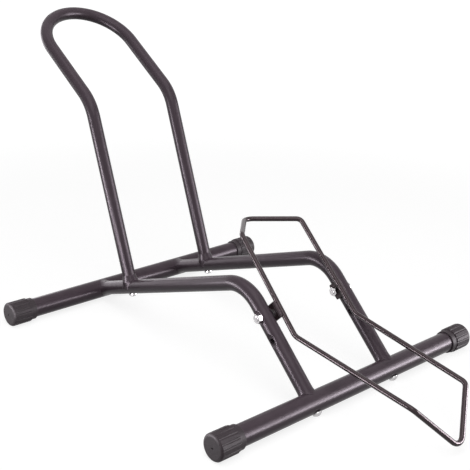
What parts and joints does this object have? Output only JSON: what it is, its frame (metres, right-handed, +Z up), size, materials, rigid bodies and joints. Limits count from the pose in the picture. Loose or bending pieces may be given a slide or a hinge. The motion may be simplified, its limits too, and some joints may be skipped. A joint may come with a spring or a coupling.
{
  "type": "floor bike rack",
  "caption": "Floor rack that holds a bicycle upright by one wheel: capped cross tubes, bent rails, a tall hoop that leans back, and a wire cradle that tilts as the wheel rolls in.",
  "frame": {"origin": "on the floor, under the middle of the rack's overall box", "axes": "+Z up; +Y to the rear, the way the wheel rolls in, towards the hoop; +X to the right as seen from the front"},
  "size_m": [0.546, 0.9408, 0.4827],
  "materials": {
    "tube_paint": "gloss",
    "wire_paint": "gloss",
    "cap": "satin",
    "bolt_zinc": "bright",
    "washer_zinc": "satin",
    "plug_steel": "satin"
  },
  "bodies": {
    "stand": {"rear_cross_tube": "tube_paint", "front_cross_tube": "tube_paint", "rear_left_end_cap": "cap", "rear_right_end_cap": "cap", "front_left_end_cap": "cap", "front_right_end_cap": "cap", "left_rail": "tube_paint", "right_rail": "tube_paint", "wheel_hoop": "tube_paint", "left_pivot_bolt": "bolt_zinc", "right_pivot_bolt": "bolt_zinc", "left_pivot_nut": "bolt_zinc", "right_pivot_nut": "bolt_zinc", "left_pivot_washer": "washer_zinc", "right_pivot_washer": "washer_zinc", "hoop_bolts": "bolt_zinc", "hoop_plugs": "plug_steel", "front_rail_bolts": "bolt_zinc", "front_rail_plugs": "plug_steel", "rear_rail_bolts": "bolt_zinc", "rear_rail_plugs": "plug_steel"},
    "cradle": {"wire_cradle": "wire_paint", "left_cradle_bracket": "wire_paint", "right_cradle_bracket": "wire_paint"}
  },
  "joints": [
    {"name": "cradle_tilt", "type": "hinge", "parent": "stand", "child": "cradle", "pos_m": [0, -0.17008, 0.1173], "axis": [-1, 0, 0], "range_deg": [-2.2, 77.5]}
  ]
}
